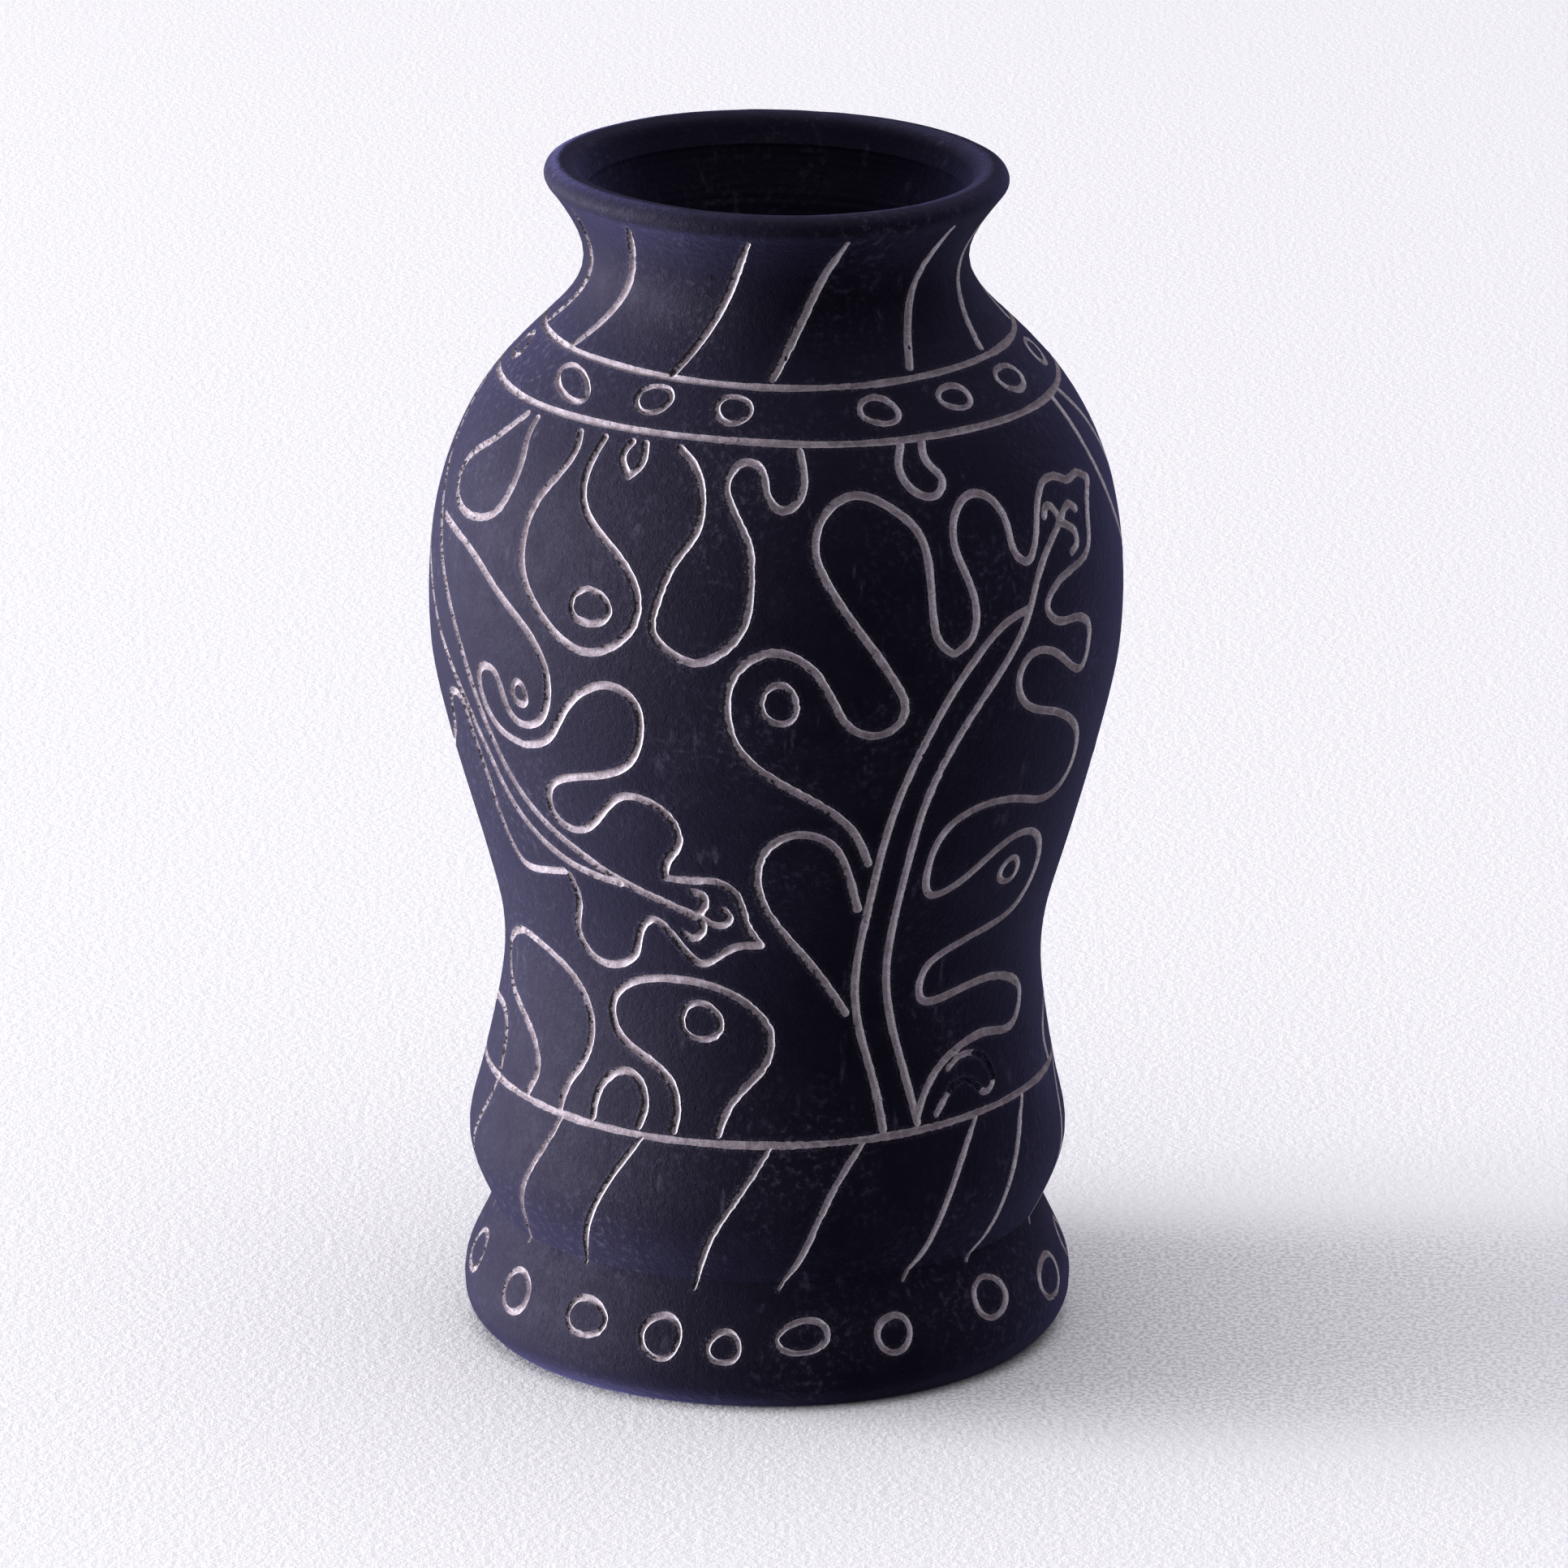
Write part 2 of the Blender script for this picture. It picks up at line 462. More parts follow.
# ---------------------------------------------------------------- the carved surface
# The lines' edges wander a little, and are ragged in places.
ragged = fade(grain(16), -0.3, 0.8)
uneven = 0.08 * grain(5) + (0.05 + 0.13 * ragged) * grain(1.1)
distance = line_distance + uneven
gradient_up = np.gradient(distance, row_arc, axis=0)
cell_across = turn_step * row_radius[:, None]
gradient_across = (np.roll(distance, -1, 1) - np.roll(distance, 1, 1)) / (2 * cell_across)
steepness = np.hypot(gradient_across, gradient_up) + 1e-6
right_hand = gradient_across / steepness

# Grid points near the edge of a line move onto it, so that the edge is clean.
away = distance - GROOVE_HALF
moving = (np.abs(away) < SNAP * np.minimum(1, steepness)) & (line_distance < 2 * GROOVE_HALF)
shift_up = -np.where(moving, away * gradient_up / steepness ** 2, 0)
shift_across = -np.where(moving, away * gradient_across / steepness ** 2, 0)
distance = np.where(moving, GROOVE_HALF, distance)

# The tool leans: the wall on a line's left is steeper than the one on its right.
from_middle = np.clip(distance / GROOVE_HALF, 0, 1)
steep = 1.8 + 1.4 * fade(-right_hand, -0.2, 0.7)
depth = GROOVE_DEPTH * (1 - from_middle ** steep) * (1 + 0.12 * grain(7))
# a low burr of raised clay just outside the edge, where the line is ragged
burr = 0.07 * ragged * np.exp(-((distance - GROOVE_HALF - 0.25) / 0.3) ** 2)
# the unevenness of a wall shaped by hand
hand = 0.30 * grain(55) + 0.10 * grain(19) + 0.035 * grain(7) + 0.015 * grain(2.2, 3)
# it fades out at both ends, where the wall meets the base and the inner wall
steady = (fade(row_arc, 0, 6) * fade(-row_arc, -row_arc[-1], 6 - row_arc[-1]))[:, None]
relief = hand * steady + (burr - depth) * (distance < 3 * GROOVE_HALF)

arcs = row_arc[:, None] + shift_up
arcs[0], arcs[-1] = row_arc[0], row_arc[-1]
radius, height, out_r, out_z = on_outline(arcs)
turns = column_turn[None, :] + shift_across / row_radius[:, None]


def placed(radius, height, turns):
    """Points in space of places on the wall. The wall shifts sideways a little between the
    heights 40 and 134, and the rim tips."""
    lean = LEAN - 2 * LEAN * fade(134 - height, 0, 94)
    tip = -RIM_TIP * fade(height, 255, 284) * np.sin(turns)
    return np.stack([radius * np.sin(turns) + lean, -radius * np.cos(turns), height + tip],
                    axis=-1)


surface = placed(radius + out_r * relief, height + out_z * relief, turns)
flat_surface = surface.reshape(-1, 3)
flat_distance = distance.ravel()
edge_away = np.abs(flat_distance - GROOVE_HALF)


# ---------------------------------------------------------------- meshes
def mesh_object(name, points, faces, material, attributes, sharp):
    """A piece from points in millimetres and faces, each a list of point numbers, with a
    value of each attribute at every point. Edges bent by more than sharp degrees are sharp."""
    mesh = bpy.data.meshes.new(name)
    sizes = np.array([len(face) for face in faces])
    loops = np.concatenate([np.asarray(face) for face in faces])
    mesh.vertices.add(len(points))
    mesh.vertices.foreach_set("co", (np.asarray(points) * MM).astype(np.float32).ravel())
    mesh.loops.add(len(loops))
    mesh.loops.foreach_set("vertex_index", loops.astype(np.int32))
    mesh.polygons.add(len(faces))
    starts = np.concatenate([[0], np.cumsum(sizes)[:-1]])
    mesh.polygons.foreach_set("loop_start", starts.astype(np.int32))
    mesh.update(calc_edges=True)
    mesh.validate()
    for label, values in attributes.items():
        layer = mesh.attributes.new(label, "FLOAT", "POINT")
        layer.data.foreach_set("value", np.asarray(values, np.float32))
    mesh.shade_smooth()
    mesh.set_sharp_from_angle(angle=math.radians(sharp))
    mesh.materials.append(material)
    piece = bpy.data.objects.new(name, mesh)
    bpy.context.scene.collection.objects.link(piece)
    return piece


# Blocks near a carved line keep their small cells, and the others are one face each.
block_rows, block_columns = (ROWS - 1) // BLOCK, COLUMNS // BLOCK
fine_block = np.zeros((block_rows, block_columns), bool)
for i in range(block_rows):
    band = line_distance[i * BLOCK:i * BLOCK + BLOCK + 1].min(axis=0)
    cells = band.reshape(block_columns, BLOCK).min(axis=1)
    fine_block[i] = np.minimum(cells, np.roll(band[::BLOCK], -1)) < REACH
# the lip is round enough to need small cells all the way along
fine_block[row_arc[:-1:BLOCK] > arc_at(LIP_START)] = True


def is_fine(i, j):
    """Whether a block is in the grid and has small cells."""
    return 0 <= i < block_rows and fine_block[i, j % block_columns]


def grid_number(row, column):
    """The number of a point of the grid, which closes round the pot."""
    return row * COLUMNS + column % COLUMNS


def cell_triangles(i, j):
    """The two triangles of each cell of a fine block, cut along the line's edge if one
    crosses the cell."""
    rows, columns = np.meshgrid(np.arange(i * BLOCK, i * BLOCK + BLOCK),
                                np.arange(j * BLOCK, j * BLOCK + BLOCK), indexing="ij")
    rows, columns = rows.ravel(), columns.ravel()
    a = grid_number(rows, columns)
    b = grid_number(rows, columns + 1)
    c = grid_number(rows + 1, columns + 1)
    d = grid_number(rows + 1, columns)
    rising = edge_away[a] + edge_away[c] < edge_away[b] + edge_away[d]
    first = np.where(rising[:, None], np.column_stack([a, b, c]), np.column_stack([a, b, d]))
    second = np.where(rising[:, None], np.column_stack([a, c, d]), np.column_stack([b, c, d]))
    return np.vstack([first, second])


def block_outline(i, j):
    """A coarse block as one face: its corners, and each small step along a side that it
    shares with a fine block."""
    row, column = i * BLOCK, j * BLOCK
    steps = range(1, BLOCK)
    outline = [grid_number(row, column)]
    if is_fine(i - 1, j):
        outline += [grid_number(row, column + step) for step in steps]
    outline.append(grid_number(row, column + BLOCK))
    if is_fine(i, j + 1):
        outline += [grid_number(row + step, column + BLOCK) for step in steps]
    outline.append(grid_number(row + BLOCK, column + BLOCK))
    if is_fine(i + 1, j):
        outline += [grid_number(row + BLOCK, column + BLOCK - step) for step in steps]
    outline.append(grid_number(row + BLOCK, column))
    if is_fine(i, j - 1):
        outline += [grid_number(row + BLOCK - step, column) for step in steps]
    return outline


def seam_run(block_row, j):
    """The points of a block's width along the seam under a row of blocks."""
    row, column = block_row * BLOCK, j * BLOCK
    if is_fine(block_row, j) or is_fine(block_row - 1, j):
        return [grid_number(row, column + step) for step in range(BLOCK + 1)]
    return [grid_number(row, column), grid_number(row, column + BLOCK)]


# ---------------------------------------------------------------- the inner wall
INNER_STEP = 3.0          # rings of points are this far apart
RIDGE_STEP = 0.7          # and closer where the wiping ridges show
RIDGE_HEIGHT = 232.0
inner_curve = smooth(INNER_OUTLINE, 0.2)
block_turn = column_turn[::BLOCK]


def inner_place(height_wanted):
    """Radius of the inner wall at a height."""
    return np.interp(-height_wanted, -inner_curve[:, 1], inner_curve[:, 0])


def joint_inner(seam):
    """Where the luted joint that starts at a seam meets the inner wall."""
    outer = float(on_outline(arc_at(seam))[0])
    heights = np.linspace(seam, seam + 8, 400)
    meets = heights - (seam + BEVEL * (outer - inner_place(heights)))
    return float(np.interp(0, meets, heights))


def wiping(heights, turns):
    """Low rings left inside by wiping, fading below the neck."""
    rings = 0.10 * np.sin(heights * 2.9 + 1.3 * np.sin(turns + 1) + 2 * np.sin(heights * 0.37))
    rings += 0.06 * np.sin(heights * 5.3 + 0.8 * np.sin(2 * turns) + 1)
    return rings * fade(heights, 190, 235) + 0.25 * np.sin(heights * 0.21 + np.sin(turns))


def inner_rows(low, high):
    """Rings of points on the inner wall from one height up to another."""
    step = RIDGE_STEP if high > RIDGE_HEIGHT else INNER_STEP
    heights = np.linspace(low, high, max(2, round((high - low) / step) + 1))
    grid_h, grid_t = np.meshgrid(heights, block_turn, indexing="ij")
    ends = fade(grid_h, low, low + 1) * fade(-grid_h, -high, 1 - high)
    radius = inner_place(grid_h) + wiping(grid_h, grid_t) * ends
    return placed(radius, grid_h, grid_t)


# ---------------------------------------------------------------- clay sections
SLAB_STRIDE = BLOCK // 2  # the slab's rings use one column of the grid in this many
SLAB_RADIUS = 73.0


def clay_section(name, number, material):
    """One wall section: its carved outside, its inside and the luted joints between."""
    first, last = section_rows[number] // BLOCK, section_rows[number + 1] // BLOCK
    grid_faces = []
    for i in range(first, last):
        for j in range(block_columns):
            if fine_block[i, j]:
                grid_faces.extend(cell_triangles(i, j).tolist())
            else:
                grid_faces.append(block_outline(i, j))
    is_top = number == len(SECTIONS)
    low_inner = joint_inner(seams[number - 1]) if number > 1 else seams[0]
    inside = np.zeros((0, block_columns, 3))
    if not is_top:
        inside = inner_rows(low_inner, joint_inner(seams[number]))
    used = np.unique(np.concatenate([np.asarray(face) for face in grid_faces]))
    renumber = np.full(ROWS * COLUMNS, -1)
    renumber[used] = np.arange(len(used))
    faces = [renumber[face].tolist() for face in grid_faces]
    points = flat_surface[used]
    carved = flat_distance[used]
    count = len(points)
    points = np.vstack([points, inside.reshape(-1, 3)])
    carved = np.append(carved, np.full(inside.shape[0] * block_columns, FAR))
    rings = [[count + k * block_columns + j for j in range(block_columns)]
             for k in range(len(inside))]
    for j in range(block_columns):
        after = (j + 1) % block_columns
        below = renumber[seam_run(first, j)].tolist()
        above = renumber[seam_run(last, j)].tolist()
        if is_top:
            faces.append(below[::-1] + above)
            continue
        for lower, upper in zip(rings, rings[1:]):
            faces.append([lower[after], lower[j], upper[j], upper[after]])
        faces.append(below[::-1] + [rings[0][j], rings[0][after]])
        faces.append(above + [rings[-1][after], rings[-1][j]])
    return mesh_object(name, points, faces, material, {"carved": np.clip(carved, 0, FAR)}, 38)


def base_slab_piece(name, material):
    """The bottom slab, with the first rows of the outer wall round it and a low swirl from
    the turning on its upper face."""
    slab_turn = column_turn[::SLAB_STRIDE]
    across = len(slab_turn)
    wall = surface[:section_rows[1] + 1:2, ::SLAB_STRIDE]
    rings_under = [placed(np.full(across, r), np.full(across, 0.0), slab_turn)
                   for r in (1, 20, 40, 55, 64)]
    rings_over = []
    for share in np.linspace(0.985, 0.02, 34):
        swirl = 0.12 * np.sin(share * 70 + slab_turn) * (share < 0.7)
        level = seams[0] - 0.2 + swirl
        rings_over.append(placed(np.full(across, SLAB_RADIUS * share), level, slab_turn))
    rings = rings_under + list(wall) + rings_over
    points = np.vstack(rings)
    faces = []
    for k in range(len(rings) - 1):
        for j in range(across):
            after = (j + 1) % across
            faces.append([k * across + j, k * across + after,
                          (k + 1) * across + after, (k + 1) * across + j])
    top = (len(rings) - 1) * across
    faces.append(list(range(across))[::-1])
    faces.append(list(range(top, top + across)))
    return mesh_object(name, points, faces, material, {"carved": np.full(len(points), FAR)}, 50)


# ---------------------------------------------------------------- slip linings
SLIP_RAISED = 0.05        # how far a lining's face stands above the bare groove
SLIP_SUNK = 0.35          # and how far its underside lies below it
all_cells = np.vstack([cell_triangles(i, j) for i, j in np.argwhere(fine_block)])
lined = flat_distance[all_cells].mean(axis=1) < GROOVE_HALF - 0.02
lined &= line_filled.ravel()[all_cells].all(axis=1)
lined_cells = all_cells[lined]
cell_family = np.max(line_family.ravel()[lined_cells], axis=1)
# -1 at the left edge of a line and 1 at its right one
hand_side = right_hand * from_middle
# how bare of slip a place is: the left edge of each line on the front, and the whole width of
# the lines on the left side, where the slip has been rubbed off
facing = fade(column_turn, -0.9, -0.6) * fade(-column_turn, -0.5, 0.1)
rubbed_off = 0.35 * fade(-column_turn, 0.95, 1.15)
bare = (np.clip(-hand_side, 0, 1) * facing + rubbed_off).ravel()
hand_side = hand_side.ravel()


def slip_piece(name, material):
    """The thin lining of one family of lines: the groove's own surface, raised, and its
    underside in the clay."""
    faces = lined_cells[cell_family == families.index(name.removesuffix("_slip"))]
    used, faces = np.unique(faces, return_inverse=True)
    faces = faces.reshape(-1, 3)
    push = np.stack([out_r.ravel()[used] * np.sin(turns.ravel()[used]),
                     -out_r.ravel()[used] * np.cos(turns.ravel()[used]),
                     out_z.ravel()[used]], axis=1)
    top = flat_surface[used] + SLIP_RAISED * push
    under = flat_surface[used] - SLIP_SUNK * push
    count = len(used)
    sides = np.vstack([faces[:, [0, 1]], faces[:, [1, 2]], faces[:, [2, 0]]])
    keys = sides[:, 0] * count + sides[:, 1]
    opposite = sides[:, 1] * count + sides[:, 0]
    rim = sides[~np.isin(keys, opposite)]
    walls = np.column_stack([rim[:, 1], rim[:, 0], rim[:, 0] + count, rim[:, 1] + count])
    all_faces = faces.tolist() + (faces[:, ::-1] + count).tolist() + walls.tolist()
    attributes = {"hand": np.tile(hand_side[used], 2), "bare": np.tile(bare[used], 2)}
    return mesh_object(name, np.vstack([top, under]), all_faces, material, attributes, 60)


# ---------------------------------------------------------------- materials
class Shading:
    """A material's node tree, with short ways to add and join its nodes."""

    def __init__(self, name):
        self.material = bpy.data.materials.new(name)
        self.material.use_nodes = True
        self.tree = self.material.node_tree
        self.tree.nodes.clear()
        output = self.tree.nodes.new("ShaderNodeOutputMaterial")
        self.shader = self.tree.nodes.new("ShaderNodeBsdfPrincipled")
        self.tree.links.new(self.shader.outputs[0], output.inputs[0])
        self.place = self.tree.nodes.new("ShaderNodeTexCoord").outputs["Object"]

    def put(self, value, socket):
        """Join a socket to another node's output, or give it a value of its own."""
        if isinstance(value, bpy.types.NodeSocket):
            self.tree.links.new(value, socket)
        else:
            socket.default_value = value

    def stretched(self, scale, turn=(0, 0, 0)):
        """The place in the object, turned and then scaled by a different amount each way."""
        node = self.tree.nodes.new("ShaderNodeMapping")
        node.inputs["Rotation"].default_value = turn
        node.inputs["Scale"].default_value = scale
        self.put(self.place, node.inputs["Vector"])
        return node.outputs[0]

    def noise(self, scale, detail, roughness, place=None):
        """Soft noise, with patches about 1 / scale metres across."""
        node = self.tree.nodes.new("ShaderNodeTexNoise")
        node.inputs["Scale"].default_value = scale
        node.inputs["Detail"].default_value = detail
        node.inputs["Roughness"].default_value = roughness
        self.put(place or self.place, node.inputs["Vector"])
        return node.outputs[0]

    def cells(self, scale):
        """Distance from the nearest of many scattered points."""
        node = self.tree.nodes.new("ShaderNodeTexVoronoi")
        node.inputs["Scale"].default_value = scale
        self.put(self.place, node.inputs["Vector"])
        return node.outputs["Distance"]

    def attribute(self, name):
        """A value that the mesh holds at each of its points."""
        node = self.tree.nodes.new("ShaderNodeAttribute")
        node.attribute_name = name
        return node.outputs["Fac"]

    def span(self, value, low, high, to_low=0.0, to_high=1.0):
        """value moved from one range to another, held at the ends."""
        node = self.tree.nodes.new("ShaderNodeMapRange")
        node.interpolation_type = "SMOOTHSTEP"
        for socket, number in zip(node.inputs[1:5], (low, high, to_low, to_high)):
            socket.default_value = number
        self.put(value, node.inputs[0])
        return node.outputs[0]

    def combine(self, operation, *values):
        """One value from one or two others."""
        node = self.tree.nodes.new("ShaderNodeMath")
        node.operation = operation
        for value, socket in zip(values, node.inputs):
            self.put(value, socket)
        return node.outputs[0]

    def mix(self, share, first, second):
        """A colour between two others."""
        node = self.tree.nodes.new("ShaderNodeMix")
        node.data_type = "RGBA"
        self.put(share, node.inputs[0])
        self.put(first, node.inputs[6])
        self.put(second, node.inputs[7])
        return node.outputs[2]

    def bump(self, height, distance, strength, below=None):
        """Relief of a depth in metres, on top of another one if that is given."""
        node = self.tree.nodes.new("ShaderNodeBump")
        node.inputs["Strength"].default_value = strength
        node.inputs["Distance"].default_value = distance
        self.put(height, node.inputs["Height"])
        if below is not None:
            self.put(below, node.inputs["Normal"])
        return node.outputs[0]


def clay_material():
    """Smoked black clay, hand burnished: satin, with an indigo cast, fine grain and dust."""
    s = Shading("black_clay")
    # grain of several sizes, strokes left by burnishing two ways, pores and grit
    blotch = s.noise(26, 4, 0.55)
    cloud = s.noise(150, 4, 0.6)
    rubbed = s.noise(1, 3, 0.6, s.stretched((900, 900, 110), (0.5, 0.35, 0.9)))
    rubbed_back = s.noise(1, 3, 0.6, s.stretched((140, 1000, 1000), (0.2, -0.5, 0.4)))
    fine = s.noise(2300, 3, 0.65)
    coarse = s.noise(620, 3, 0.6)
    pits = s.span(s.cells(330), 0.05, 0.16)
    flecks = s.span(s.cells(240), 0.0, 0.07, 1.0, 0.0)
    tone = s.combine("ADD", s.combine("MULTIPLY", blotch, 0.5), s.combine("MULTIPLY", cloud, 0.5))
    colour = s.mix(s.span(tone, 0.35, 0.68), (0.0018, 0.0010, 0.0018, 1),
                   (0.0040, 0.0028, 0.0048, 1))
    # pale dust: in patches, beside the carved lines, in streaks, in runs and as flecks
    by_line = s.span(s.attribute("carved"), 1.0, 2.4, 1.0, 0.0)
    dusty = s.combine("MULTIPLY", s.span(coarse, 0.5, 0.72), s.span(blotch, 0.42, 0.66, 0.0, 1.1))
    by_line = s.combine("MULTIPLY", by_line, s.span(fine, 0.48, 0.7, 0.0, 2.5))
    streak = s.combine("MULTIPLY", s.span(rubbed, 0.62, 0.8), s.span(cloud, 0.45, 0.7, 0.0, 0.5))
    runs = s.noise(1, 3, 0.6, s.stretched((210, 210, 38)))
    run = s.combine("MULTIPLY", s.span(runs, 0.64, 0.76), s.span(fine, 0.4, 0.7, 0.6, 2.2))
    dusty = s.combine("MAXIMUM", dusty, run)
    dusty = s.combine("MAXIMUM", dusty, by_line)
    dust = s.combine("MAXIMUM", dusty, s.combine("MAXIMUM", streak, flecks))
    colour = s.mix(s.combine("MULTIPLY", dust, 0.17), colour, (0.13, 0.125, 0.18, 1))
    s.put(colour, s.shader.inputs["Base Color"])
    rough = s.combine("ADD", s.span(cloud, 0.3, 0.7, 0.64, 0.74), s.combine("MULTIPLY", dust, 0.25))
    rough = s.combine("ADD", rough, s.span(rubbed_back, 0.3, 0.7, -0.03, 0.04))
    s.put(rough, s.shader.inputs["Roughness"])
    relief = s.bump(fine, 0.00018, 0.9)
    relief = s.bump(coarse, 0.0003, 0.7, relief)
    relief = s.bump(rubbed, 0.00005, 0.5, relief)
    relief = s.bump(pits, 0.0001, 0.6, relief)
    s.put(relief, s.shader.inputs["Normal"])
    s.shader.inputs["Specular IOR Level"].default_value = 0.16
    s.shader.inputs["Specular Tint"].default_value = (0.56, 0.52, 1.0, 1)
    s.shader.inputs["Sheen Weight"].default_value = 0.24
    s.shader.inputs["Sheen Roughness"].default_value = 0.45
    s.shader.inputs["Sheen Tint"].default_value = (0.33, 0.32, 0.80, 1)
    return s.material


def slip_material():
    """Pale chalky slip, worn and pitted, with black specks of clay showing through."""
    s = Shading("pale_slip")
    blotch = s.noise(90, 3, 0.6)
    cloud = s.noise(420, 4, 0.6)
    fine = s.noise(1500, 4, 0.7)
    speck = s.noise(800, 4, 0.75)
    grit = s.noise(2600, 2, 0.6)
    hand = s.attribute("hand")
    # it is blotchy, palest at the right edge of each line, with dark grit in it
    colour = s.mix(s.span(cloud, 0.35, 0.65), (0.18, 0.148, 0.175, 1), (0.32, 0.28, 0.32, 1))
    colour = s.mix(s.span(blotch, 0.35, 0.7, 0.0, 0.5), colour, (0.21, 0.175, 0.20, 1))
    pale = s.span(s.combine("ADD", hand, s.combine("MULTIPLY", fine, 0.7)), 0.55, 1.15)
    colour = s.mix(s.combine("MULTIPLY", pale, 0.75), colour, (0.60, 0.57, 0.62, 1))
    colour = s.mix(s.span(grit, 0.36, 0.52, 0.55, 0.0), colour, (0.10, 0.08, 0.085, 1))
    # the clay shows through it in specks, more of them at the left edge and where it is bare
    edge = s.span(hand, -1.0, -0.4, 0.09, 0.0)
    worn = s.combine("MULTIPLY", s.attribute("bare"), 0.30)
    dark = s.span(s.combine("ADD", speck, s.combine("ADD", edge, worn)), 0.63, 0.70)
    colour = s.mix(dark, colour, (0.02, 0.017, 0.02, 1))
    s.put(colour, s.shader.inputs["Base Color"])
    s.put(s.span(fine, 0.3, 0.7, 0.82, 0.98), s.shader.inputs["Roughness"])
    relief = s.bump(fine, 0.00022, 0.9, s.bump(grit, 0.00012, 0.9))
    relief = s.bump(dark, 0.0002, -0.8, relief)
    s.put(relief, s.shader.inputs["Normal"])
    s.shader.inputs["Specular IOR Level"].default_value = 0.3
    return s.material


def floor_material():
    """Pale plaster with a fine tooth."""
    s = Shading("pale_plaster")
    tooth = s.noise(420, 4, 0.65)
    fine = s.noise(1100, 3, 0.6)
    # the tooth's pits are grey specks in a band beside the pot, where its shadow lies
    split = s.tree.nodes.new("ShaderNodeSeparateXYZ")
    s.put(s.place, split.inputs[0])
    x, y = split.outputs[0], split.outputs[1]
    along = s.combine("MULTIPLY", s.span(x, -0.03, 0.05), s.span(x, 0.08, 0.36, 1.0, 0.25))
    from_band = s.combine("ABSOLUTE", s.combine("ADD", y, 0.012))
    band = s.combine("MULTIPLY", along, s.span(from_band, 0.045, 0.095, 1.0, 0.0))
    grains = s.span(s.noise(850, 3, 0.7), 0.42, 0.56, 1.0, 0.0)
    specks = s.combine("MULTIPLY", grains, band)
    colour = s.mix(s.combine("MULTIPLY", specks, 0.55), (0.87, 0.855, 0.86, 1),
                   (0.30, 0.29, 0.34, 1))
    s.put(colour, s.shader.inputs["Base Color"])
    s.shader.inputs["Roughness"].default_value = 0.85
    s.put(s.bump(fine, 0.0003, 0.3, s.bump(tooth, 0.0009, 0.3)), s.shader.inputs["Normal"])
    return s.material


# ---------------------------------------------------------------- the pieces
clay = clay_material()
slip = slip_material()
for number, name in enumerate(["base_slab"] + SECTIONS):
    if number:
        piece = clay_section(name + "_clay", number, clay)
    else:
        piece = base_slab_piece(name + "_clay", clay)
    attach(piece, "root")
    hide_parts(name)
for name in families:
    piece = slip_piece(name + "_slip", slip)
    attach(piece, "root")
    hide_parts(name)

# ---------------------------------------------------------------- floor, light and camera
# From here on, lengths are metres.
FLOOR_HALF = 7.0
FLOOR_DROP = 0.0003       # the floor lies this far under the pot
WINDOW_PLACE = Vector((-4.0, 0.1, 0.25))
WINDOW_SIZE = (2.9, 0.48)
WINDOW_POWER = 630
WINDOW_COLOUR = (0.98, 0.98, 1.0)
SKY_STRENGTH = 2.3        # straight overhead
HORIZON_STRENGTH = 0.07
SKY_COLOUR = (0.935, 0.925, 1.0, 1)
CAMERA_RISE = math.radians(17.5)
CAMERA_DISTANCE = 2.5
CAMERA_AIM = Vector((0.0029, 0, 0.1324))
LENS = 240.84             # millimetres, on a sensor 36 mm wide

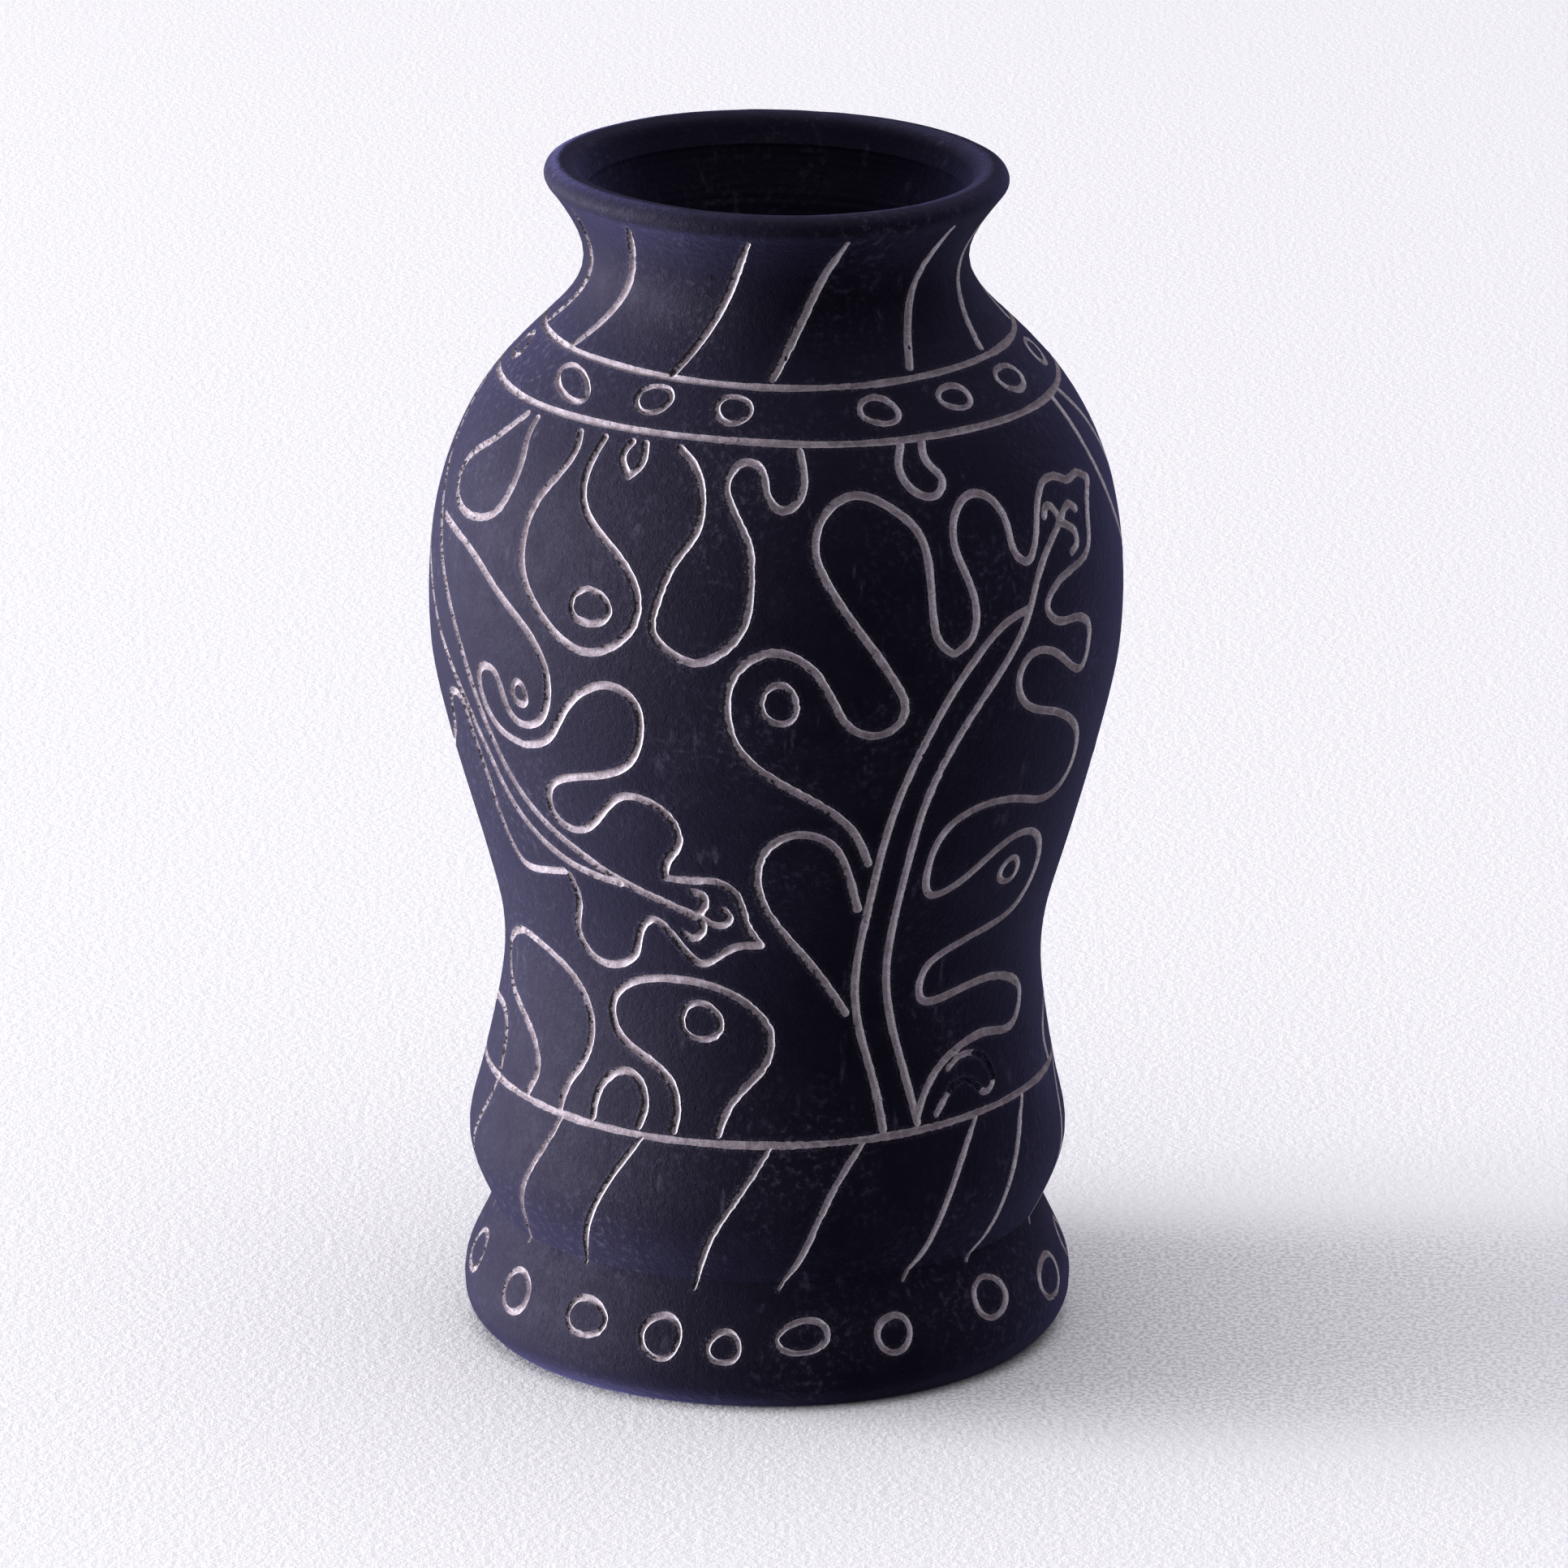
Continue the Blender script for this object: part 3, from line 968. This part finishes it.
scene = bpy.context.scene
corners = [(-FLOOR_HALF, -FLOOR_HALF, 0), (FLOOR_HALF, -FLOOR_HALF, 0),
           (FLOOR_HALF, FLOOR_HALF, 0), (-FLOOR_HALF, FLOOR_HALF, 0)]
floor_mesh = bpy.data.meshes.new("floor")
floor_mesh.from_pydata(corners, [], [(0, 1, 2, 3)])
floor_mesh.materials.append(floor_material())
floor = bpy.data.objects.new("floor", floor_mesh)
scene.collection.objects.link(floor)
floor.location.z = -FLOOR_DROP
floor.visible_glossy = False      # the clay's sheen comes from the window, not from the floor
floor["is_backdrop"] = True

# a wide, low window on the left, turned to the pot
light = bpy.data.lights.new("window", "AREA")
light.shape = "RECTANGLE"
light.size, light.size_y = WINDOW_SIZE
light.energy = WINDOW_POWER
light.color = WINDOW_COLOUR
window = bpy.data.objects.new("window", light)
window.location = WINDOW_PLACE
window.rotation_mode = "QUATERNION"
to_pot = Vector((0, 0, cad_high.z / 2)) - WINDOW_PLACE
window.rotation_quaternion = to_pot.to_track_quat("-Z", "Y")
scene.collection.objects.link(window)

# The room's own light is strongest overhead and fades towards the horizon.
world = bpy.data.worlds.new("studio")
scene.world = world
world.use_nodes = True
background = world.node_tree.nodes["Background"]
background.inputs["Color"].default_value = SKY_COLOUR
direction = world.node_tree.nodes.new("ShaderNodeTexCoord")
split = world.node_tree.nodes.new("ShaderNodeSeparateXYZ")
world.node_tree.links.new(direction.outputs["Generated"], split.inputs[0])
strength = split.outputs["Z"]
for operation, value in (("POWER", 3), ("MULTIPLY", SKY_STRENGTH), ("MAXIMUM", HORIZON_STRENGTH)):
    node = world.node_tree.nodes.new("ShaderNodeMath")
    node.operation = operation
    node.inputs[1].default_value = value
    world.node_tree.links.new(strength, node.inputs[0])
    strength = node.outputs[0]
world.node_tree.links.new(strength, background.inputs["Strength"])

camera_data = bpy.data.cameras.new("camera")
camera_data.lens = LENS
camera_data.sensor_width = 36
camera_data.clip_end = 60
camera = bpy.data.objects.new("camera", camera_data)
back = Vector((0, -math.cos(CAMERA_RISE), math.sin(CAMERA_RISE)))
camera.location = CAMERA_AIM + back * CAMERA_DISTANCE
camera.rotation_mode = "QUATERNION"
camera.rotation_quaternion = (-back).to_track_quat("-Z", "Y")
scene.collection.objects.link(camera)
bpy.context.scene.camera = camera
scene.view_settings.view_transform = "Standard"

low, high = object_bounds()
